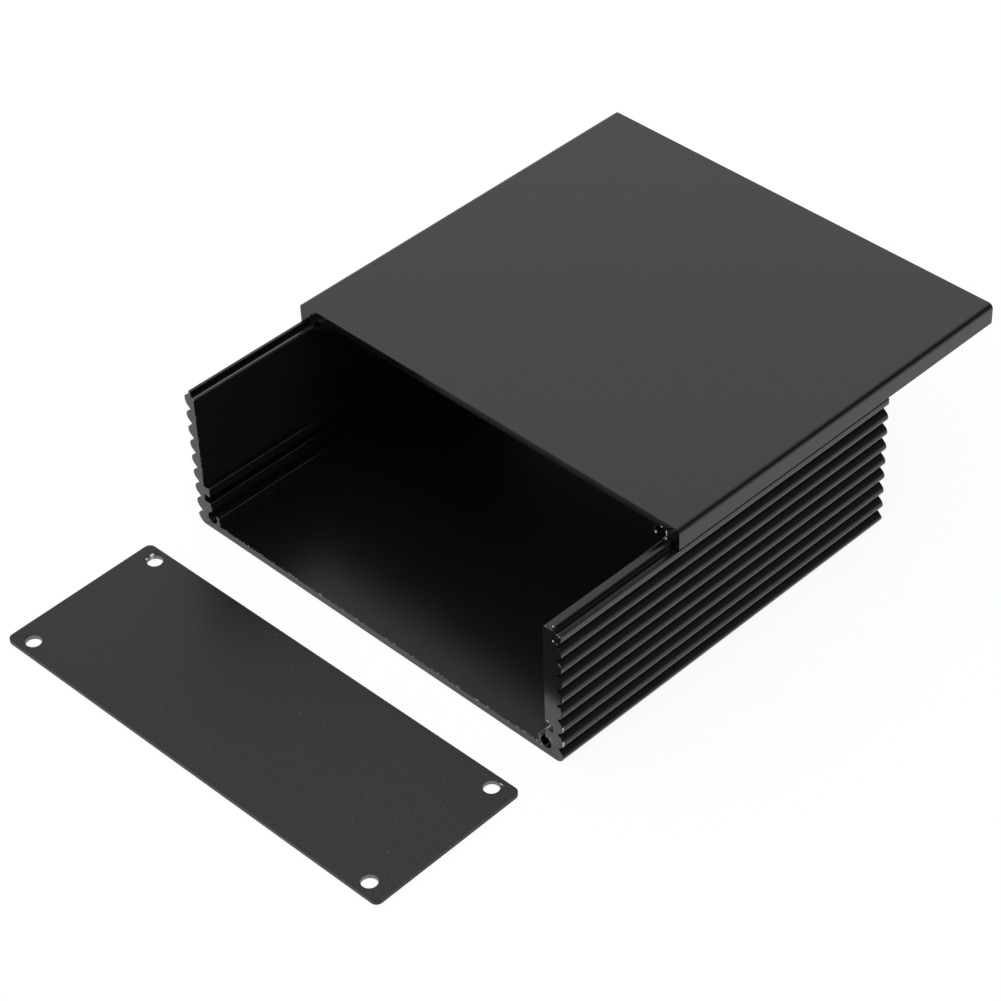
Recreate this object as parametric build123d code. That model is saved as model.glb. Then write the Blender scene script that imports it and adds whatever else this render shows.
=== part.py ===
from build123d import *
import math
import os

# An extruded aluminium electronics box, shown open. All sizes are in millimetres.
# X runs across the box, Y along the extrusions from front to rear, and Z is up.
# The origin is the middle of the base's underside. The front end faces -Y.

# Overall size
body_width = 109.2          # across the crests of the side ribs
body_height = 39.9          # closed, from the underside to the top of the lid
body_length = 98.2          # length of the base

# Base: floor, side walls and their ribs
floor_thickness = 1.8
wall_thickness = 1.3        # left wall, behind a notch
heavy_wall_thickness = 3.3  # right wall, behind a notch
rib_depth = 1.6             # crest down to the notch between two ribs
rib_pitch = 4.0
rib_flank_angle = 51.0      # degrees between a rib's flat flanks and the notch plane
first_notch_height = 3.5    # underside to the lowest notch
bottom_corner_radius = 2.2

# Joint between the lid and the tops of the walls
lid_depth = 5.1             # top of the lid down to the ledge that it slides on
shelf_drop = 0.2            # shelf outside the lip, below the ledge inside it
shelf_width = 1.5           # rib crest in to the lip
shelf_hollow_radius = 1.0   # concave foot on the outer side of the lip
shelf_edge_radius = 0.3
ledge_edge_radius = 0.65    # rounded inner corner of the ledge
lip_thickness = 0.65
lip_height = 1.7            # above the ledge
slide_gap = 0.15            # running clearance beside and above the lip
flange_gap = 0.25           # from the shelf up to the lid's flange

# Circuit-board slot low on both walls, between two guides
guide_depth = 3.0           # notch plane in to the face of the guides
slot_height = 7.0           # underside to the lower face of the slot
slot_opening = 1.9
slot_depth = 1.8
upper_guide_thickness = 2.2

# Screw channels in the four corners, each open along one side
screw_channel_diameter = 2.9
screw_inset_x = 4.8         # rib crest in to the channel's axis
screw_inset_z = 3.2         # underside or top to the channel's axis
channel_fin_thickness = 0.65
channel_fin_rise = 0.97     # channel axis to the end of the fin

# Lid
lid_length = 98.6           # it was sawn a little longer than the base
lid_overhang = 0.1          # on each side, past the rib crests
lid_thickness = 1.8
lid_edge_radius = 1.2

# End plate
plate_margin_x = 0.25       # past the rib crests on each side
plate_margin_z = 0.1        # short of the closed box at the top and bottom
plate_thickness = 1.0
plate_corner_radius = 1.5
plate_hole_diameter = 3.5

# How the pieces lie
lid_drawn_back = 33.5       # the lid's front end behind the base's
plate_distance = 12.3       # base's front end to the middle of the plate's near edge
plate_shift = -0.5
plate_turn = 0.8            # degrees about Z

# Places that follow from the sizes above
crest_x = body_width / 2
notch_x = crest_x - rib_depth
guide_x = notch_x - guide_depth
heavy_wall_x = notch_x - heavy_wall_thickness
channel_x = crest_x - screw_inset_x
channel_radius = screw_channel_diameter / 2
fin_x = channel_x - channel_radius - channel_fin_thickness
ledge_z = body_height - lid_depth
shelf_z = ledge_z - shelf_drop
lip_outer_x = crest_x - shelf_width
lip_inner_x = lip_outer_x - lip_thickness
lip_top_z = ledge_z + lip_height
plate_width = body_width + 2 * plate_margin_x
plate_height = body_height - 2 * plate_margin_z


def box(x0, x1, z0, z1):
    """A rectangle of a section, between two X and two Z values."""
    return Pos((x0 + x1) / 2, (z0 + z1) / 2) * Rectangle(x1 - x0, z1 - z0)


def both_sides(half):
    """A shape of the right side, together with its mirror image on the left."""
    return half + mirror(half, Plane.YZ)


def round_corners(section, x, z, radius):
    """Round the corner of a section at a place, and its twin on the left."""
    corners = [section.vertices().sort_by_distance((side * x, z, 0))[0] for side in (-1, 1)]
    return fillet(corners, radius)


def along_y(section, start, length):
    """A section in X and Z, run along Y from a starting value."""
    return Pos(0, start, 0) * extrude(Plane.XZ * section, -length)


def ribs():
    """The ribs of one side, with flat flanks, rounded crests and sharp notches between them."""
    half_pitch = rib_pitch / 2
    flank = math.radians(rib_flank_angle)
    peak_x = notch_x + half_pitch * math.tan(flank)
    crest_radius = (half_pitch * math.sin(flank) - rib_depth * math.cos(flank)) / (1 - math.cos(flank))
    rib = Polygon((notch_x, -half_pitch), (peak_x, 0), (notch_x, half_pitch), align=None)
    rib = fillet(rib.vertices().sort_by(Axis.X)[-1], crest_radius)
    crests = []
    crest_z = first_notch_height - half_pitch
    while crest_z < shelf_z - shelf_edge_radius:
        crests.append(crest_z)
        crest_z += rib_pitch
    # The highest rib is squared off above its crest, where the lid's flange meets it.
    square_top = box(notch_x, crest_x, crests[-1], shelf_z)
    return square_top + [Pos(0, z) * rib for z in crests]


def channel_fin():
    """The fin that closes the inner side of the screw channel in the base's corner."""
    return box(fin_x, guide_x, 0, screw_inset_z + channel_fin_rise)


def screw_channel():
    return Pos(channel_x, screw_inset_z) * Circle(channel_radius)


def in_lid(shape):
    """A shape of the base's corner, turned over into the corner of the lid above it."""
    return Pos(0, body_height) * mirror(shape, Plane.XZ)


def base_section():
    outline = box(-crest_x, crest_x, 0, shelf_z)
    outline = round_corners(outline, crest_x, 0, bottom_corner_radius)
    outline = round_corners(outline, crest_x, shelf_z, shelf_edge_radius)
    walls = outline & (box(-notch_x, notch_x, 0, shelf_z) + both_sides(ribs()))
    walls += both_sides(box(heavy_wall_x, lip_inner_x, shelf_z, ledge_z))
    walls += both_sides(box(lip_inner_x, lip_outer_x, shelf_z, lip_top_z))
    walls = round_corners(walls, lip_outer_x, shelf_z, shelf_hollow_radius)
    walls -= box(wall_thickness - notch_x, heavy_wall_x, floor_thickness, lip_top_z)
    ledge_corners = [walls.vertices().sort_by_distance((x, ledge_z, 0))[0]
                     for x in (wall_thickness - notch_x, heavy_wall_x)]
    walls = fillet(ledge_corners, ledge_edge_radius)

    slot_top = slot_height + slot_opening
    guides = box(guide_x, notch_x, 0, slot_top + upper_guide_thickness)
    slot = box(heavy_wall_x, guide_x + slot_depth, slot_height, slot_top)
    return walls + both_sides(guides + channel_fin()) - both_sides(slot + screw_channel())


def lid_section():
    flange_x = lip_outer_x + slide_gap
    flange_z = shelf_z + flange_gap
    edge_x = crest_x + lid_overhang
    section = box(-edge_x, edge_x, body_height - lid_thickness, body_height)
    shoulder = box(guide_x, flange_x, ledge_z, body_height)
    lip_groove = box(lip_inner_x - slide_gap, flange_x, ledge_z, lip_top_z + slide_gap)
    flange = box(flange_x, edge_x, flange_z, body_height)
    section += both_sides(shoulder - lip_groove + flange + in_lid(channel_fin()))
    section = round_corners(section, edge_x, body_height, lid_edge_radius)
    section = round_corners(section, flange_x, flange_z, shelf_hollow_radius - slide_gap)
    return section - both_sides(in_lid(screw_channel()))


def end_plate():
    """The flat plate, lying on the table in front of the box."""
    sheet = RectangleRounded(plate_width, plate_height, plate_corner_radius)
    hole_places = GridLocations(2 * channel_x, body_height - 2 * screw_inset_z, 2, 2)
    sheet -= hole_places * Circle(plate_hole_diameter / 2)
    middle_y = front_y - plate_distance - plate_height / 2
    return Pos(plate_shift, middle_y, 0) * Rot(0, 0, plate_turn) * extrude(sheet, plate_thickness)


front_y = -body_length / 2
parts = {
    "base": along_y(base_section(), front_y, body_length),
    "lid": along_y(lid_section(), front_y + lid_drawn_back, lid_length),
    "end_plate": end_plate(),
}

os.makedirs("parts", exist_ok=True)
for name, shape in parts.items():
    export_step(shape, f"parts/{name}.step")
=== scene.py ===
import math

import bmesh
import bpy
from bpy.props import FloatProperty, FloatVectorProperty, IntProperty, PointerProperty
from mathutils import Euler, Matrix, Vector


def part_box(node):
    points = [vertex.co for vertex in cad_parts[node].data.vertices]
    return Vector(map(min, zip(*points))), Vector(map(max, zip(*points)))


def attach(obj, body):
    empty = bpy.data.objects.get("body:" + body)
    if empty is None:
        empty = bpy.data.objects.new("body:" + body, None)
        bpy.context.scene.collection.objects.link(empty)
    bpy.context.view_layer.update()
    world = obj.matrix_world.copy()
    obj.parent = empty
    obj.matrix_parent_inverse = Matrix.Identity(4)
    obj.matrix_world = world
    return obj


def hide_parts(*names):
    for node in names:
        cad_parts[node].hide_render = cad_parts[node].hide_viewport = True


bl_info = {
    "name": "Open extrusion box",
    "version": (1, 0, 0),
    "blender": (4, 5, 0),
    "location": "3D View > Sidebar > Open box",
    "description": "Finishes a black anodised box of two extrusions and an end plate",
    "category": "Object",
}

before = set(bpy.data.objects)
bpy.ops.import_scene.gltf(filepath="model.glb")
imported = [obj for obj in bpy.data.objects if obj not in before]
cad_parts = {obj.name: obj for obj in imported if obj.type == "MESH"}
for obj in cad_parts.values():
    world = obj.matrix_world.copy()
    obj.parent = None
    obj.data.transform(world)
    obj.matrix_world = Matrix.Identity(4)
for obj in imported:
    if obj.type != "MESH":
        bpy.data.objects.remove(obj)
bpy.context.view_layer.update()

MM = 0.001
BASE_LOW, BASE_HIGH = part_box("base")
LID_LOW, LID_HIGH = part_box("lid")
PLATE_LOW, PLATE_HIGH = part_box("end_plate")

# Places on the box, in millimetres. Insets run from the ribs' crests, and the screws' inset in z from the
# top and the underside. Painted highlights run along the edges of two guides and a fin, where glints stand
# on their rounded corners, each given as the inset of its face and the height of its top, and the painted
# highlight reaches a little way across and down from there.
SCREW_INSET_X = 4.8
SCREW_INSET_Z = 3.2
LIP_HEIGHT = 1.7
LIP_INSET = 2.15
GUIDE_INSET = 4.6
FIN_INSET = 6.9
GLINT_EDGES = ((GUIDE_INSET, 11.1), (GUIDE_INSET, 7.0), (FIN_INSET, 4.17))
EDGE_GLINT_ACROSS = 0.05
EDGE_GLINT_DOWN = 0.2
AIR_MARGIN = 0.2

# Greys, from 0 for black to 1 for white
# Painted shade in the notches between the ribs
NOTCH_PAINTED_SHADE = 0.001
SHEET_SPECKS = 0.05
HOLE_METAL = 0.2
# Painted glints: burr specks by the saw cuts and spots on the holes' rims
BARE_METAL_GLINT = 0.75
TABLE_PAINT = 0.92
WHITE = 1.0

# Each pair in the next four groups says where a mask starts and where it is whole.
# These go by how squarely a surface faces a direction.
SAWN_FACING = (0.8, 0.95)
UPRIGHT_FACING = (0.6, 0.9)
UPWARD_FACING = (0.15, 0.45)
OUTWARD_FACING = (0.2, 0.4)
HOLE_WALL_FACING = (0.8, 0.5)

# These go by distance in millimetres: three from the nearer saw cut, and then one each from the front
# saw cut, in from the ribs' crests, across the plate from its middle, and to the right of the box.
DEEP_INSIDE = (20.0, 42.0)
GLINT_STRIP_ENDS = (34.0, 14.0)
BURR_GLINT_ENDS = (0.35, 0.12)
GLINT_SPOT_FRONT = (0.4, 0.2)
BEHIND_RIBS = (1.4, 1.9)
DUSTY_PART = (-25.0, 45.0)
DIMMER_TABLE = (60.0, 200.0)

# These go by share of the way from a rib's crest to the notch, and by share of a spot's half-size.
NOTCH_SHARE = (0.3, 1.0)
SPOT_SHARE = (1.3, 0.7)

# These go by the value of a noise.
BURR_GLINT_NOISE = (0.57, 0.62)
SPECK_NOISE = (0.70, 0.78)
DUST_NOISE = (0.4, 0.66)

# Millimetres over which the edge of a strip fades
SOFT_STEP = 0.1

# Painted highlights beside the plate's far holes, where glints stand on their rims, in millimetres: the
# hole's side, the way across and up from its middle to the highlight's, and its half-width and
# half-height.
# The reach takes in a hole's bare wall.
HOLE_RIM_GLINTS = ((-1, -1.87, 0.82, 0.3, 0.5), (-1, -1.77, -0.8, 0.16, 0.3), (1, 0.9, 1.86, 0.5, 0.09))
HOLE_REACH = 2.4

# How strongly the relief shows, and the heights of the grain and the saw's lines, where a die line's is 1
RELIEF_STRENGTH = 0.5
GRAIN_HEIGHT = 0.35
SAW_HEIGHT = 3.0

# Merging of a CAD node's triangles, and the corners of the saw cuts. The last two are how nearly an edge
# runs along Y and how squarely a face looks that way.
MERGE_DISTANCE = 0.001 * MM
FLAT_ANGLE = math.radians(0.5)
CORNER_ANGLE = math.radians(60)
EDGE_ALONG_Y = 0.999
FACE_ALONG_Y = 0.9

# The camera's sensor in millimetres and its nearest visible distance in metres, and half the height of the
# step between the upper and lower part of the unlit side
SENSOR_WIDTH = 36.0
NEAREST_SEEN = 0.01
DARK_STEP = 0.15


class Value:
    """A number's socket in a shader, so that shader maths reads as arithmetic."""

    def __init__(self, tree, socket):
        self.tree = tree
        self.socket = socket

    def math(self, operation, *others):
        node = self.tree.nodes.new("ShaderNodeMath")
        node.operation = operation
        for place, item in zip(node.inputs, (self, *others)):
            plug(self.tree, place, item)
        return Value(self.tree, node.outputs[0])

    def __add__(self, other):
        return self.math("ADD", other)

    def __radd__(self, other):
        return self.math("ADD", other)

    def __sub__(self, other):
        return self.math("SUBTRACT", other)

    def __rsub__(self, other):
        return (self * -1.0).math("ADD", other)

    def __mul__(self, other):
        return self.math("MULTIPLY", other)

    def __rmul__(self, other):
        return self.math("MULTIPLY", other)

    def __truediv__(self, other):
        return self.math("DIVIDE", other)

    def __abs__(self):
        return self.math("ABSOLUTE")

    def power(self, exponent):
        return self.math("POWER", exponent)

    def most(self, other):
        return self.math("MAXIMUM", other)

    def rise(self, low, high):
        """0 below low and 1 above high, with a smooth step between. It falls where low is above high."""
        if low > high:
            return 1.0 - self.rise(high, low)
        node = self.tree.nodes.new("ShaderNodeMapRange")
        node.interpolation_type = "SMOOTHSTEP"
        for name, item in {"Value": self, "From Min": low, "From Max": high}.items():
            plug(self.tree, node.inputs[name], item)
        return Value(self.tree, node.outputs["Result"])

    def swing(self, amount):
        """A random value from 0 to 1 as a change of up to half the amount either way."""
        return (self - 0.5) * amount


def plug(tree, socket, item):
    """Give a socket a link, or a value of its own."""
    if isinstance(item, Value):
        tree.links.new(item.socket, socket)
    elif isinstance(item, bpy.types.NodeSocket):
        tree.links.new(item, socket)
    else:
        socket.default_value = item


class Shader:
    """The node tree of a material or of the world."""

    def __init__(self, owner):
        owner.use_nodes = True
        self.tree = owner.node_tree
        self.tree.nodes.clear()

    def node(self, kind, settings=None, sockets=None):
        """Add one node. Its settings are set first, and then its sockets."""
        node = self.tree.nodes.new(kind)
        for name, item in (settings or {}).items():
            setattr(node, name, item)
        for name, item in (sockets or {}).items():
            plug(self.tree, node.inputs[name], item)
        return node

    def value(self, node, output=0):
        return Value(self.tree, node.outputs[output])

    def place(self):
        """The x, y and z of a point of the piece, in millimetres."""
        point = self.node("ShaderNodeTexCoord").outputs["Object"]
        parts = self.node("ShaderNodeSeparateXYZ", sockets={"Vector": point})
        return [self.value(parts, axis) / MM for axis in "XYZ"]

    def facing(self):
        """The x, y and z of the surface's direction, in the piece's own frame."""
        direction = self.node("ShaderNodeTexCoord").outputs["Normal"]
        parts = self.node("ShaderNodeSeparateXYZ", sockets={"Vector": direction})
        return [self.value(parts, axis) for axis in "XYZ"]

    def vector(self, x, y, z):
        return self.node("ShaderNodeCombineXYZ", sockets={"X": x, "Y": y, "Z": z}).outputs[0]

    def noise(self, vector, scale, detail=2.0, roughness=0.5):
        """A smooth random value from 0 to 1, with a scale in grains a millimetre."""
        sockets = {"Vector": vector, "Scale": scale, "Detail": detail, "Roughness": roughness}
        return self.value(self.node("ShaderNodeTexNoise", sockets=sockets), "Fac")

    def blend(self, mask, first, second):
        """A colour that goes from first to second as the mask goes from 0 to 1."""
        mix = self.node("ShaderNodeMix", {"data_type": "RGBA"})
        plug(self.tree, mix.inputs[0], mask)
        for place, colour in ((mix.inputs[6], first), (mix.inputs[7], second)):
            plug(self.tree, place, colour if isinstance(colour, bpy.types.NodeSocket) else rgba(colour))
        return mix.outputs[2]

    def bump(self, height, distance):
        """A relief whose height of 0 to 1 stands for a distance in metres."""
        sockets = {"Height": height, "Distance": distance, "Strength": RELIEF_STRENGTH}
        return self.node("ShaderNodeBump", sockets=sockets).outputs[0]

    def surface(self, shader_output, kind="ShaderNodeOutputMaterial"):
        self.node(kind, sockets={"Surface": shader_output})


def rgba(colour):
    return (*colour[:3], 1.0)


def grey(level):
    return (level, level, level)


def paler(colour, times):
    """A grey that is some times as bright as a near-black colour."""
    return grey(colour[0] * times)


def any_of(masks):
    """The strongest of several masks at each point."""
    strongest = masks[0]
    for mask in masks[1:]:
        strongest = strongest.most(mask)
    return strongest


class SkinMarks:
    """Where an extrusion's skin differs, in millimetres of its own frame.

    The side is where the ribs' crests are, and the inside top is the height below which the skin
    between the walls carries painted light and shade. The ends are the two values of y of the saw cuts.
    Burr glints is the strength of the bare specks beside them, burr specks painted bright as glints, and
    end dulling is the share of the gloss that they lack. Glint strips are painted highlights along both
    walls, each as two places across and two heights, and the ledge is a brighter strip of metal on one
    wall. Glint spots are oval painted highlights of bare metal on the front saw cut, each as its middle,
    half-width and half-height.
    """

    def __init__(self, side, inside_top, ends, burr_glints, glint_spots, end_dulling=0.0, glint_strips=(), ledge=None):
        self.side = side
        self.inside_top = inside_top
        self.ends = ends
        self.burr_glints = burr_glints
        self.glint_spots = glint_spots
        self.end_dulling = end_dulling
        self.glint_strips = glint_strips
        self.ledge = ledge


def upward_strip(across, z, facing_z, limits):
    """A mask for the upward part of a strip along Y, between two places across and two heights."""
    low, high, bottom, top = limits
    beside = across.rise(low - SOFT_STEP, low) * across.rise(high + SOFT_STEP, high)
    level = z.rise(bottom - SOFT_STEP, bottom) * z.rise(top + SOFT_STEP, top)
    return beside * level * facing_z.rise(*UPWARD_FACING)


def glint_limits(side, inset, height):
    """The limits of a painted highlight along one edge, which reach out into the air beside it."""
    face = side - inset
    return (face - AIR_MARGIN, face + EDGE_GLINT_ACROSS, height - EDGE_GLINT_DOWN, height + AIR_MARGIN)


def spot(across, up, place):
    """A mask for an oval spot, from its middle and its half-width and half-height."""
    middle_across, middle_up, half_width, half_height = place
    away_across = (across - middle_across) / half_width
    away_up = (up - middle_up) / half_height
    return (away_across * away_across + away_up * away_up).power(0.5).rise(*SPOT_SHARE)


def anodised_extrusion(name, settings, marks):
    """Black anodised extrusion: faint lines along Y, dull sawn ends with burr specks painted bright as
    glints, painted shade in the notches and painted light and shade inside.
    """
    material = bpy.data.materials.new(name)
    shader = Shader(material)
    x, y, z = shader.place()
    facing_x, facing_y, facing_z = shader.facing()
    point = shader.vector(x, y, z)
    front, back = marks.ends
    from_end = (back - front) / 2 - abs(y - (front + back) / 2)
    from_crest = marks.side - abs(x)
    sawn_end = abs(facing_y).rise(*SAWN_FACING)
    skin_only = 1.0 - sawn_end

    # The die's lines change slowly along Y, and the saw's run nearly level across an end.
    along = shader.vector(x, y * settings.line_stretch, z)
    die_lines = shader.noise(along, scale=settings.lines_per_mm, detail=3.0, roughness=0.6)
    saw_path = shader.vector(x * 0.35 + z * 2.2, y, x * 0.02)
    saw_lines = shader.noise(saw_path, scale=3.0, detail=3.0, roughness=0.65)
    cloud = shader.noise(point, scale=0.05, detail=3.0)
    grain = shader.noise(point, scale=6.0, detail=2.0)

    skin = shader.blend(cloud, settings.black, paler(settings.black, 1.35))
    end_colour = shader.blend(saw_lines, settings.sawn, paler(settings.sawn, 1.8))
    colour = shader.blend(sawn_end, skin, end_colour)

    # The notches between the ribs are painted matt black as painted shade, where the ribs shade each
    # other.
    outward = (facing_x * x / marks.side).rise(*OUTWARD_FACING)
    sunk = (from_crest / settings.notch_depth).rise(*NOTCH_SHARE)
    notch = sunk * outward * skin_only * settings.notch_shade
    colour = shader.blend(notch, colour, grey(NOTCH_PAINTED_SHADE))

    # The skin inside the box is painted paler as painted light, on upright faces and deep inside, and
    # loses gloss as painted shade, most of all deep inside. Near the ends, its level faces stay nearly as
    # black as the skin outside.
    inner_height = z.rise(marks.inside_top + 2 * SOFT_STEP, marks.inside_top)
    inside = from_crest.rise(*BEHIND_RIBS) * inner_height * skin_only
    deep = from_end.rise(*DEEP_INSIDE)
    upright = abs(facing_x).rise(*UPRIGHT_FACING)
    painted_paleness = settings.level_share + upright.most(deep) * (1.0 - settings.level_share)
    colour = shader.blend(inside * painted_paleness, colour, settings.inner_painted_light)
    dulling = settings.inner_painted_shade + deep * (settings.deep_painted_shade - settings.inner_painted_shade)

    # A metal as black as the skin has no gloss, so the share of metal is what dulls a place.
    metal = any_of([notch, inside * dulling, sawn_end * marks.end_dulling])

    # Painted highlights in strips along the edges of the guides and the fin, fading away from the open
    # ends where the lid shades them, and a brighter strip of metal on the left wall's ledge
    for limits in marks.glint_strips:
        bright_strip = upward_strip(abs(x), z, facing_z, limits) * from_end.rise(*GLINT_STRIP_ENDS) * skin_only
        colour = shader.blend(bright_strip, colour, grey(settings.glint_metal))
        metal = metal.most(bright_strip)
    if marks.ledge:
        streaks = 1.0 + die_lines.swing(0.5)
        bright_strip = upward_strip(x, z, facing_z, marks.ledge) * skin_only * streaks
        colour = shader.blend(bright_strip, colour, grey(settings.ledge_metal))
        metal = metal.most(bright_strip)

    # Burrs beside the saw cuts, and spots on the front one, painted bright as glints
    burr_glint_spots = shader.noise(point, scale=1.5, detail=4.0, roughness=0.7).rise(*BURR_GLINT_NOISE)
    burr_glints = burr_glint_spots * from_end.rise(*BURR_GLINT_ENDS) * skin_only * marks.burr_glints
    at_front = (y - front).rise(*GLINT_SPOT_FRONT)
    raw_glint = any_of([burr_glints] + [spot(x, z, place) * at_front for place in marks.glint_spots])
    colour = shader.blend(raw_glint, colour, grey(BARE_METAL_GLINT))

    skin_roughness = settings.roughness + cloud.swing(0.06) + die_lines.swing(0.05)
    end_roughness = settings.sawn_roughness + saw_lines.swing(0.12)
    relief = die_lines * skin_only + grain * GRAIN_HEIGHT + saw_lines * sawn_end * SAW_HEIGHT
    finish = shader.node("ShaderNodeBsdfPrincipled", sockets={
        "Base Color": colour,
        "Roughness": skin_roughness * skin_only + end_roughness * sawn_end,
        "Metallic": metal * (1.0 - raw_glint),
        "Normal": shader.bump(relief, settings.relief),
        "IOR": settings.ior,
    })
    shader.surface(finish.outputs[0])
    return material


def anodised_sheet(name, settings, middle, hole):
    """Black anodised sheet: a fine grain, specks, dust to the right, and holes with bare walls and painted
    highlights on their rims.

    The middle of the sheet is in the piece's frame, and a hole's place is taken from that middle.
    """
    material = bpy.data.materials.new(name)
    shader = Shader(material)
    x, y, z = shader.place()
    _, _, facing_z = shader.facing()
    point = shader.vector(x, y, z)
    turn = settings.sheet_turn
    from_x, from_y = x - middle[0], y - middle[1]
    across = from_x * math.cos(turn) + from_y * math.sin(turn)
    up = from_y * math.cos(turn) - from_x * math.sin(turn)

    cloud = shader.noise(point, scale=0.06, detail=3.0)
    grain = shader.noise(point, scale=3.5, detail=4.0, roughness=0.7)
    specks = shader.noise(point, scale=1.4, detail=2.0).rise(*SPECK_NOISE)
    dust = shader.noise(point, scale=3.2, detail=2.0).rise(*DUST_NOISE) * across.rise(*DUSTY_PART)
    colour = shader.blend(cloud, settings.black, paler(settings.black, 1.4))
    colour = shader.blend(specks, colour, grey(SHEET_SPECKS))
    colour = shader.blend(dust, colour, grey(settings.sheet_dust))

    near_hole = spot(abs(across), abs(up), (*hole, HOLE_REACH, HOLE_REACH))
    hole_wall = near_hole * abs(facing_z).rise(*HOLE_WALL_FACING)
    colour = shader.blend(hole_wall, colour, grey(HOLE_METAL))
    # Painted highlights on the far holes' rims, where glints stand
    rim_glints = any_of([
        spot(across, up, (side * hole[0] + glint_across, hole[1] + glint_up, half_width, half_height))
        for side, glint_across, glint_up, half_width, half_height in HOLE_RIM_GLINTS
    ])
    colour = shader.blend(rim_glints, colour, grey(BARE_METAL_GLINT))

    finish = shader.node("ShaderNodeBsdfPrincipled", sockets={
        "Base Color": colour,
        "Roughness": settings.sheet_roughness + cloud.swing(0.05) + grain.swing(0.08),
        "Metallic": hole_wall * (1.0 - rim_glints) * 0.7,
        "Normal": shader.bump(grain, settings.relief),
        "IOR": settings.sheet_ior,
    })
    shader.surface(finish.outputs[0])
    return material


def merged_copy(node_name, piece_name):
    """A copy of a CAD node's mesh, with its loose triangles joined into whole faces."""
    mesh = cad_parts[node_name].data.copy()
    mesh.name = piece_name
    piece = bpy.data.objects.new(piece_name, mesh)
    bpy.context.scene.collection.objects.link(piece)
    work = bmesh.new()
    work.from_mesh(mesh)
    bmesh.ops.remove_doubles(work, verts=work.verts, dist=MERGE_DISTANCE)
    bmesh.ops.dissolve_limit(
        work, angle_limit=FLAT_ANGLE, verts=work.verts, edges=work.edges, delimit=set()
    )
    return piece, work


def round_edges(work, edges, width, segments):
    bmesh.ops.bevel(
        work, geom=edges, offset=width, offset_type="OFFSET", segments=segments,
        profile=0.5, affect="EDGES", clamp_overlap=True, material=-1,
    )
    work.normal_update()


def sharp_edges(work, angle):
    work.normal_update()
    return [edge for edge in work.edges if edge.calc_face_angle(0.0) > angle]


def runs_along_y(edge):
    direction = edge.verts[1].co - edge.verts[0].co
    return abs(direction.y) > EDGE_ALONG_Y * direction.length


def finish_extrusion_edges(work, settings):
    """Round the long corners as the die leaves them, and just break the corners of the saw cuts."""
    long_edges = [edge for edge in sharp_edges(work, settings.smooth_angle) if runs_along_y(edge)]
    round_edges(work, long_edges, settings.die_radius, settings.die_segments)
    cut_edges = [
        edge for edge in sharp_edges(work, CORNER_ANGLE)
        if any(abs(face.normal.y) > FACE_ALONG_Y for face in edge.link_faces)
    ]
    round_edges(work, cut_edges, settings.edge_break, settings.edge_segments)


def finish_piece(piece, work, smooth_angle, material, body, node_name):
    """Write the mesh back, give it its finish and seat it on its body."""
    for face in work.faces:
        face.smooth = True
    for edge in work.edges:
        edge.smooth = edge.calc_face_angle(0.0) < smooth_angle
    bmesh.ops.triangulate(work, faces=[face for face in work.faces if len(face.verts) > 4])
    work.to_mesh(piece.data)
    work.free()
    piece.data.materials.clear()
    piece.data.materials.append(material)
    weighting = piece.modifiers.new("Flat faces stay flat", "WEIGHTED_NORMAL")
    weighting.keep_sharp = True
    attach(piece, body)
    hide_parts(node_name)


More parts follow.
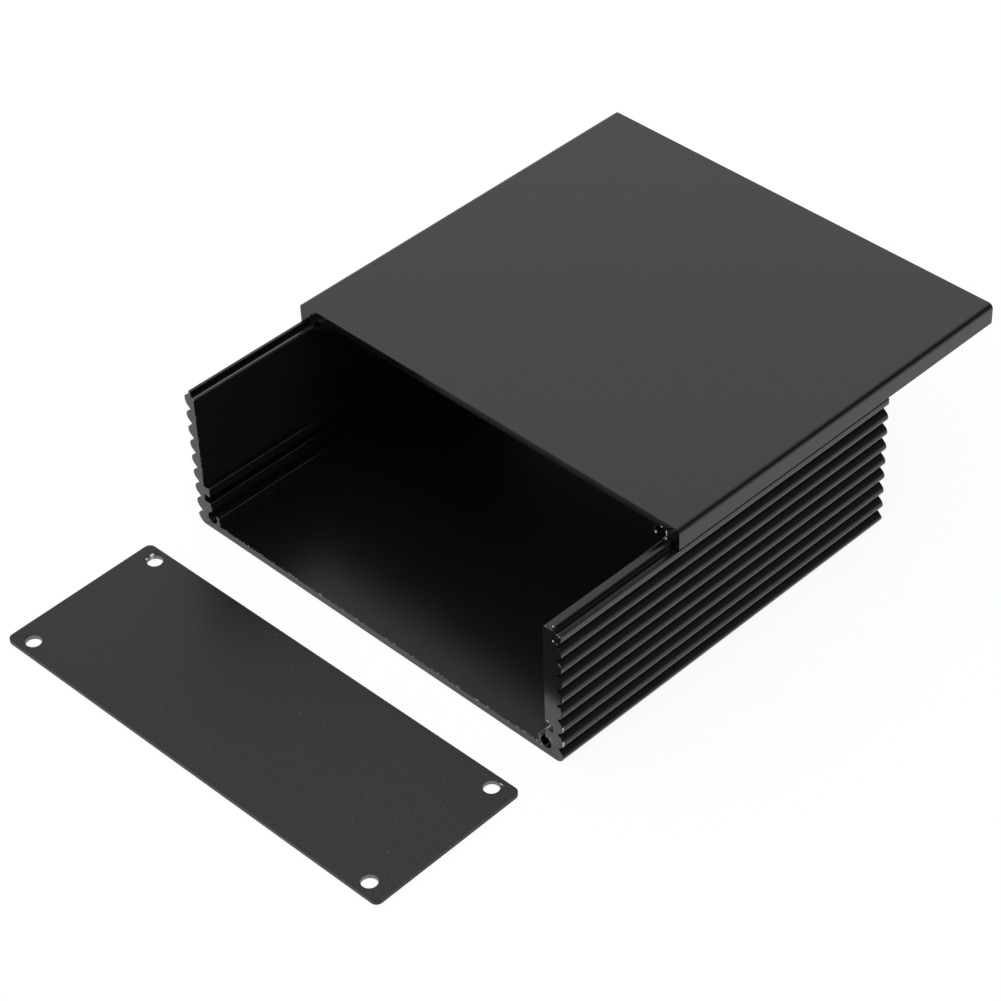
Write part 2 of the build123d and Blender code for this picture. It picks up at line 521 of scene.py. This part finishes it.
class FinishSettings(bpy.types.PropertyGroup):
    """Sizes and colours of the black finish, its painted glints, painted light and shade, and brighter
    ledge.
    """

    black: FloatVectorProperty(
        name="Black", description="Colour of the dyed skin", subtype="COLOR", size=3,
        default=(0.0030, 0.0030, 0.0031), min=0.0, max=1.0)
    sawn: FloatVectorProperty(
        name="Sawn ends", description="Colour of the dyed saw cuts", subtype="COLOR", size=3,
        default=(0.004, 0.004, 0.004), min=0.0, max=1.0)
    ior: FloatProperty(
        name="Index", description="Refractive index of the sealed oxide skin", default=1.5,
        min=1.0, max=2.5)
    # Painted light: the paler colour of the skin inside the box
    inner_painted_light: FloatVectorProperty(
        name="Inner skin", description="Colour of the dyed skin inside the walls", subtype="COLOR",
        size=3, default=(0.012, 0.012, 0.0123), min=0.0, max=1.0)
    level_share: FloatProperty(
        name="Level share", description="Share of the inner skin's colour on level faces near the ends",
        default=0.2, min=0.0, max=1.0)
    # Painted shade: the next two take gloss from the skin inside the box, the second deep inside
    inner_painted_shade: FloatProperty(
        name="Inner dulling", description="Share of the gloss that the skin inside the box lacks",
        default=0.28, min=0.0, max=1.0)
    deep_painted_shade: FloatProperty(
        name="Deep dulling", description="Share of the gloss that the inner skin lacks far from the ends",
        default=0.7, min=0.0, max=1.0)
    # Painted highlights along the edges of the guides and the fin
    glint_metal: FloatProperty(
        name="Rubbed metal", description="Brightness of the metal where boards rub", default=0.26,
        min=0.0, max=1.0)
    # A brighter strip of metal on the left wall's ledge
    ledge_metal: FloatProperty(
        name="Worn metal", description="Brightness of the metal where the lid rubs", default=0.20,
        min=0.0, max=1.0)
    roughness: FloatProperty(
        name="Roughness", description="Roughness of the skin", default=0.26, min=0.0, max=1.0)
    sheet_turn: FloatProperty(
        name="Sheet turn", description="Turn of the loose end plate on the table",
        default=math.radians(0.8), subtype="ANGLE")
    sheet_roughness: FloatProperty(
        name="Sheet roughness", description="Roughness of the end plate's skin", default=0.38,
        min=0.0, max=1.0)
    sheet_ior: FloatProperty(
        name="Sheet index", description="Refractive index of the end plate's skin", default=1.43,
        min=1.0, max=2.5)
    sheet_dust: FloatProperty(
        name="Sheet dust", description="Brightness of the fine dust on the end plate's right half",
        default=0.018, min=0.0, max=1.0)
    sawn_roughness: FloatProperty(
        name="Sawn roughness", description="Roughness of the saw cuts", default=0.14, min=0.0, max=1.0)
    notch_depth: FloatProperty(
        name="Notch depth", description="Millimetres from a rib's crest to the notch beside it",
        default=1.6, min=0.1)
    # Painted shade: how matt and black the notches between the ribs are painted
    notch_shade: FloatProperty(
        name="Notch shade", description="How matt and black the notches between the ribs are",
        default=0.8, min=0.0, max=1.0)
    lines_per_mm: FloatProperty(
        name="Lines", description="Extrusion lines to each millimetre", default=2.4, min=0.1)
    line_stretch: FloatProperty(
        name="Line stretch", description="How fast a line changes along its length, as a share of across",
        default=0.01, min=0.0)
    relief: FloatProperty(
        name="Relief", description="Height of the surface grain", default=0.000003, min=0.0,
        unit="LENGTH", precision=6)
    # Specks of burr beside the saw cuts, painted bright as glints; the next one likewise for the lid
    base_burr_glints: FloatProperty(
        name="Base burrs", description="Strength of the raw specks beside the base's saw cuts",
        default=0.5, min=0.0, max=1.0)
    lid_burr_glints: FloatProperty(
        name="Lid burrs", description="Strength of the raw specks beside the lid's saw cuts",
        default=0.03, min=0.0, max=1.0)
    lid_end_dulling: FloatProperty(
        name="Lid end dulling", description="Share of the gloss that the lid's saw cuts lack",
        default=0.42, min=0.0, max=1.0)
    edge_break: FloatProperty(
        name="Edge break", description="Width of the rounding along each sawn corner", default=0.00004,
        min=0.0, unit="LENGTH", precision=6)
    die_radius: FloatProperty(
        name="Die radius", description="Rounding of the long corners of an extrusion", default=0.0002,
        min=0.0, unit="LENGTH", precision=6)
    edge_segments: IntProperty(
        name="Edge steps", description="Faces across each sawn corner", default=2, min=1, max=6)
    die_segments: IntProperty(
        name="Die steps", description="Faces across each rounded long corner", default=4, min=1, max=8)
    smooth_angle: FloatProperty(
        name="Smooth angle", description="Faces that meet at less than this shade as one curve",
        default=math.radians(28), subtype="ANGLE")


class StageSettings(bpy.types.PropertyGroup):
    """Camera and light of the photograph."""

    azimuth: FloatProperty(
        name="Azimuth", description="Direction that the camera looks in, from +Y towards -X",
        default=math.radians(46.17), subtype="ANGLE")
    elevation: FloatProperty(
        name="Elevation", description="Height of the camera above the floor", default=math.radians(40.71),
        subtype="ANGLE")
    roll: FloatProperty(
        name="Roll", description="Turn of the camera about its view", default=math.radians(-2.36),
        subtype="ANGLE")
    distance: FloatProperty(
        name="Distance", description="From the aimed point to the lens", default=0.6867, unit="LENGTH")
    aim: FloatVectorProperty(
        name="Aim", description="Point on the floor at the middle of the picture", size=3,
        default=(-0.01094, -0.00057, 0.0), subtype="XYZ", unit="LENGTH")
    lens: FloatProperty(
        name="Lens", description="Focal length in millimetres", default=113.83, min=1.0)
    floor_side: FloatProperty(
        name="Floor side", description="Side of the white table top", default=6.0, unit="LENGTH")
    floor_brightness: FloatProperty(
        name="Floor brightness", description="Brightness of the table top to the camera", default=1.035,
        min=0.0)
    mirrored_floor: FloatProperty(
        name="Mirrored floor", description="Brightness of the table top to the box", default=1.15, min=0.0)
    mirrored_fall: FloatProperty(
        name="Mirrored fall", description="How much dimmer the table top is to the right of the box",
        default=0.4, min=0.0)
    shadow: FloatProperty(
        name="Shadow", description="Share of the object's shadow that the floor shows", default=0.12,
        min=0.0, max=1.0)
    mirrored_shadow: FloatProperty(
        name="Mirrored shadow", description="Share of the shadow that shows in reflections of the floor",
        default=0.4, min=0.0, max=1.0)
    bright_side: FloatProperty(
        name="Bright side", description="Brightness of the lit walls of the room", default=1.04, min=0.0)
    dark_side: FloatProperty(
        name="Dark side", description="Brightness of the unlit side of the room", default=0.12,
        min=0.0, max=1.0)
    dark_core: FloatProperty(
        name="Dark core", description="Share of the unlit side that is evenly dark", default=0.25,
        min=0.0, max=0.9)
    dark_azimuth: FloatProperty(
        name="Dark azimuth", description="Direction of the unlit side, from +Y towards +X",
        default=math.radians(50), subtype="ANGLE")
    dark_elevation: FloatProperty(
        name="Dark elevation", description="Height of the middle of the unlit side",
        default=math.radians(36), subtype="ANGLE")
    dark_spread_up: FloatProperty(
        name="Dark spread up", description="How far the unlit side reaches above its middle",
        default=math.radians(42), subtype="ANGLE")
    dark_spread_down: FloatProperty(
        name="Dark spread down", description="How far the unlit side reaches below its middle",
        default=math.radians(70), subtype="ANGLE")


class OBJECT_OT_open_box_base(bpy.types.Operator):
    """Finish the base extrusion with its floor, ribbed walls and board slots"""

    bl_idname = "object.open_box_base"
    bl_label = "Base extrusion"

    def execute(self, context):
        settings = context.scene.open_box_finish
        side, top = BASE_HIGH[0] / MM, BASE_HIGH[2] / MM
        ledge = top - LIP_HEIGHT
        marks = SkinMarks(
            side=side,
            # Below the rounded corner of the ledge
            inside_top=ledge - 0.6,
            ends=(BASE_LOW[1] / MM, BASE_HIGH[1] / MM),
            burr_glints=settings.base_burr_glints,
            # Painted highlights along the edges of the guides and the fin
            glint_strips=[glint_limits(side, inset, height) for inset, height in GLINT_EDGES],
            # On the left wall, beside the lip
            ledge=(LIP_INSET + 0.3 - side, LIP_INSET + 0.9 - side, ledge - 0.34, ledge + 0.05),
            # Painted highlights where glints stand on burr edges of the front saw cut
            glint_spots=[
                # On the lip and the wall below it
                (side - 1.95, top - 0.3, 0.26, 0.2),
                (side - 2.1, ledge - 2.55, 0.2, 0.2),
                # Along the shelf outside the lip, and in the highest notch
                (side - 0.97, ledge - 0.2, 0.14, 0.08),
                (side - 0.44, ledge - 0.4, 0.14, 0.1),
                (side - 1.17, ledge - 2.8, 0.12, 0.08),
                # On the crests of two ribs
                (side - 0.1, 9.6, 0.07, 0.6),
                (side - 0.1, 5.45, 0.09, 0.75),
                # On the upper board guide, and at the foot of the screw channel's fin
                (side - 4.2, 9.35, 0.18, 0.16),
                (side - 6.1, 1.75, 0.13, 0.13),
            ],
        )
        material = anodised_extrusion("Anodised base", settings, marks)
        piece, work = merged_copy("base", "base_extrusion")
        finish_extrusion_edges(work, settings)
        finish_piece(piece, work, settings.smooth_angle, material, "base_body", "base")
        return {"FINISHED"}


class OBJECT_OT_open_box_lid(bpy.types.Operator):
    """Finish the sliding lid extrusion"""

    bl_idname = "object.open_box_lid"
    bl_label = "Lid extrusion"

    def execute(self, context):
        settings = context.scene.open_box_finish
        side, top = LID_HIGH[0] / MM, LID_HIGH[2] / MM
        marks = SkinMarks(
            side=side,
            # Within the panel, so that its whole underside carries the painted light and shade of the
            # inside
            inside_top=top - 1.5,
            ends=(LID_LOW[1] / MM, LID_HIGH[1] / MM),
            burr_glints=settings.lid_burr_glints,
            end_dulling=settings.lid_end_dulling,
            # Painted highlights where glints stand on burr edges of the front saw cut
            glint_spots=[
                # Round the screw channel: its fin, its outer wall twice, and above it
                (side - 6.3, top - 3.9, 0.22, 0.28),
                (side - 3.45, top - 2.6, 0.14, 0.8),
                (side - 3.5, top - 4.0, 0.22, 0.2),
                (side - 4.7, top - 1.6, 0.25, 0.12),
            ],
        )
        material = anodised_extrusion("Anodised lid", settings, marks)
        piece, work = merged_copy("lid", "lid_extrusion")
        finish_extrusion_edges(work, settings)
        finish_piece(piece, work, settings.smooth_angle, material, "lid_body", "lid")
        return {"FINISHED"}


class OBJECT_OT_open_box_plate(bpy.types.Operator):
    """Finish the loose end plate with its four screw holes"""

    bl_idname = "object.open_box_plate"
    bl_label = "End plate"

    def execute(self, context):
        settings = context.scene.open_box_finish
        middle = [(PLATE_LOW[axis] + PLATE_HIGH[axis]) / 2 / MM for axis in (0, 1)]
        hole = (BASE_HIGH[0] / MM - SCREW_INSET_X, LID_HIGH[2] / MM / 2 - SCREW_INSET_Z)
        material = anodised_sheet("Anodised plate", settings, middle, hole)
        piece, work = merged_copy("end_plate", "end_plate_sheet")
        sharp = sharp_edges(work, settings.smooth_angle)
        round_edges(work, sharp, settings.edge_break, settings.edge_segments)
        finish_piece(piece, work, settings.smooth_angle, material, "base_body", "end_plate")
        return {"FINISHED"}


def white_floor(settings):
    """A white table top: mostly plain white to the eye, with a share of the real shadow."""
    work = bmesh.new()
    bmesh.ops.create_grid(work, x_segments=1, y_segments=1, size=settings.floor_side / 2)
    mesh = bpy.data.meshes.new("Table top")
    work.to_mesh(mesh)
    work.free()
    floor = bpy.data.objects.new("Table top", mesh)
    bpy.context.scene.collection.objects.link(floor)

    material = bpy.data.materials.new("White table top")
    shader = Shader(material)
    path = shader.node("ShaderNodeLightPath")
    direct = shader.value(path, "Is Camera Ray").most(shader.value(path, "Is Transmission Ray"))
    mirrored = shader.value(path, "Is Glossy Ray")
    paint = shader.node("ShaderNodeBsdfDiffuse", sockets={"Color": rgba(grey(TABLE_PAINT))})
    x, _, _ = shader.place()
    # Painted light: to the box's reflections the table top glows brighter than white and dims to the right
    # of the box, as the table's light falls off
    reflected = settings.mirrored_floor - x.rise(*DIMMER_TABLE) * settings.mirrored_fall
    strength = direct * settings.floor_brightness + (1.0 - direct) * reflected
    plain = shader.node("ShaderNodeEmission", sockets={"Color": rgba(grey(WHITE)), "Strength": strength})
    share = (direct * (1.0 - settings.shadow)).most(mirrored * (1.0 - settings.mirrored_shadow))
    mix = shader.node("ShaderNodeMixShader", sockets={0: share})
    shader.tree.links.new(paint.outputs[0], mix.inputs[1])
    shader.tree.links.new(plain.outputs[0], mix.inputs[2])
    shader.surface(mix.outputs[0])
    mesh.materials.append(material)


def soft_room(settings):
    """A white room whose right-hand far side is unlit, which darkens the faces turned to it."""
    world = bpy.data.worlds.new("Soft room")
    bpy.context.scene.world = world
    shader = Shader(world)
    towards = shader.node("ShaderNodeTexCoord").outputs["Generated"]
    flat, raised = math.cos(settings.dark_elevation), math.sin(settings.dark_elevation)
    middle = Vector((
        flat * math.sin(settings.dark_azimuth),
        flat * math.cos(settings.dark_azimuth),
        raised,
    ))
    turned = shader.node("ShaderNodeVectorMath", {"operation": "DOT_PRODUCT"}, {0: towards, 1: middle})
    away = shader.value(turned, "Value").math("ARCCOSINE")
    height = shader.value(shader.node("ShaderNodeSeparateXYZ", sockets={"Vector": towards}), "Z")
    upper = height.rise(raised - DARK_STEP, raised + DARK_STEP)
    spread = settings.dark_spread_down + upper * (settings.dark_spread_up - settings.dark_spread_down)
    dark = (away / spread).rise(1.0, settings.dark_core)
    path = shader.node("ShaderNodeLightPath")
    seen = shader.value(path, "Is Camera Ray")
    lit = settings.bright_side - dark * (settings.bright_side - settings.dark_side)
    strength = seen + (1.0 - seen) * lit
    light = shader.node("ShaderNodeBackground", sockets={"Color": rgba(grey(WHITE)), "Strength": strength})
    shader.surface(light.outputs[0], "ShaderNodeOutputWorld")


def photo_camera(settings):
    """The camera of the photograph, looking down on the near right-hand corner."""
    camera_data = bpy.data.cameras.new("Photo camera")
    camera_data.sensor_width = SENSOR_WIDTH
    camera_data.lens = settings.lens
    camera_data.clip_start = NEAREST_SEEN
    camera = bpy.data.objects.new("Photo camera", camera_data)
    bpy.context.scene.collection.objects.link(camera)
    turn = Euler((math.pi / 2 - settings.elevation, 0.0, settings.azimuth), "XYZ").to_matrix()
    turn = turn @ Euler((0.0, 0.0, settings.roll), "XYZ").to_matrix()
    camera.matrix_world = turn.to_4x4()
    camera.location = Vector(settings.aim) + turn @ Vector((0.0, 0.0, settings.distance))
    bpy.context.scene.camera = camera


class OBJECT_OT_open_box_stage(bpy.types.Operator):
    """Lay the white floor, light the room and place the camera"""

    bl_idname = "object.open_box_stage"
    bl_label = "Stage"

    def execute(self, context):
        settings = context.scene.open_box_stage
        white_floor(settings)
        soft_room(settings)
        photo_camera(settings)
        context.scene.view_settings.view_transform = "Standard"
        return {"FINISHED"}


class VIEW3D_PT_open_box(bpy.types.Panel):
    """The box's pieces, finish and stage"""

    bl_idname = "VIEW3D_PT_open_box"
    bl_label = "Open box"
    bl_space_type = "VIEW_3D"
    bl_region_type = "UI"
    bl_category = "Open box"

    def draw(self, context):
        layout = self.layout
        for operator in (
            OBJECT_OT_open_box_base, OBJECT_OT_open_box_lid,
            OBJECT_OT_open_box_plate, OBJECT_OT_open_box_stage,
        ):
            layout.operator(operator.bl_idname)
        for settings in (context.scene.open_box_finish, context.scene.open_box_stage):
            for name in settings.__annotations__:
                layout.prop(settings, name)


CLASSES = (
    FinishSettings,
    StageSettings,
    OBJECT_OT_open_box_base,
    OBJECT_OT_open_box_lid,
    OBJECT_OT_open_box_plate,
    OBJECT_OT_open_box_stage,
    VIEW3D_PT_open_box,
)


def register():
    for item in CLASSES:
        bpy.utils.register_class(item)
    bpy.types.Scene.open_box_finish = PointerProperty(type=FinishSettings)
    bpy.types.Scene.open_box_stage = PointerProperty(type=StageSettings)


def unregister():
    del bpy.types.Scene.open_box_stage
    del bpy.types.Scene.open_box_finish
    for item in reversed(CLASSES):
        bpy.utils.unregister_class(item)


def main():
    register()
    bpy.ops.object.open_box_base()
    bpy.ops.object.open_box_lid()
    bpy.ops.object.open_box_plate()
    bpy.ops.object.open_box_stage()


if __name__ == "__main__":
    main()
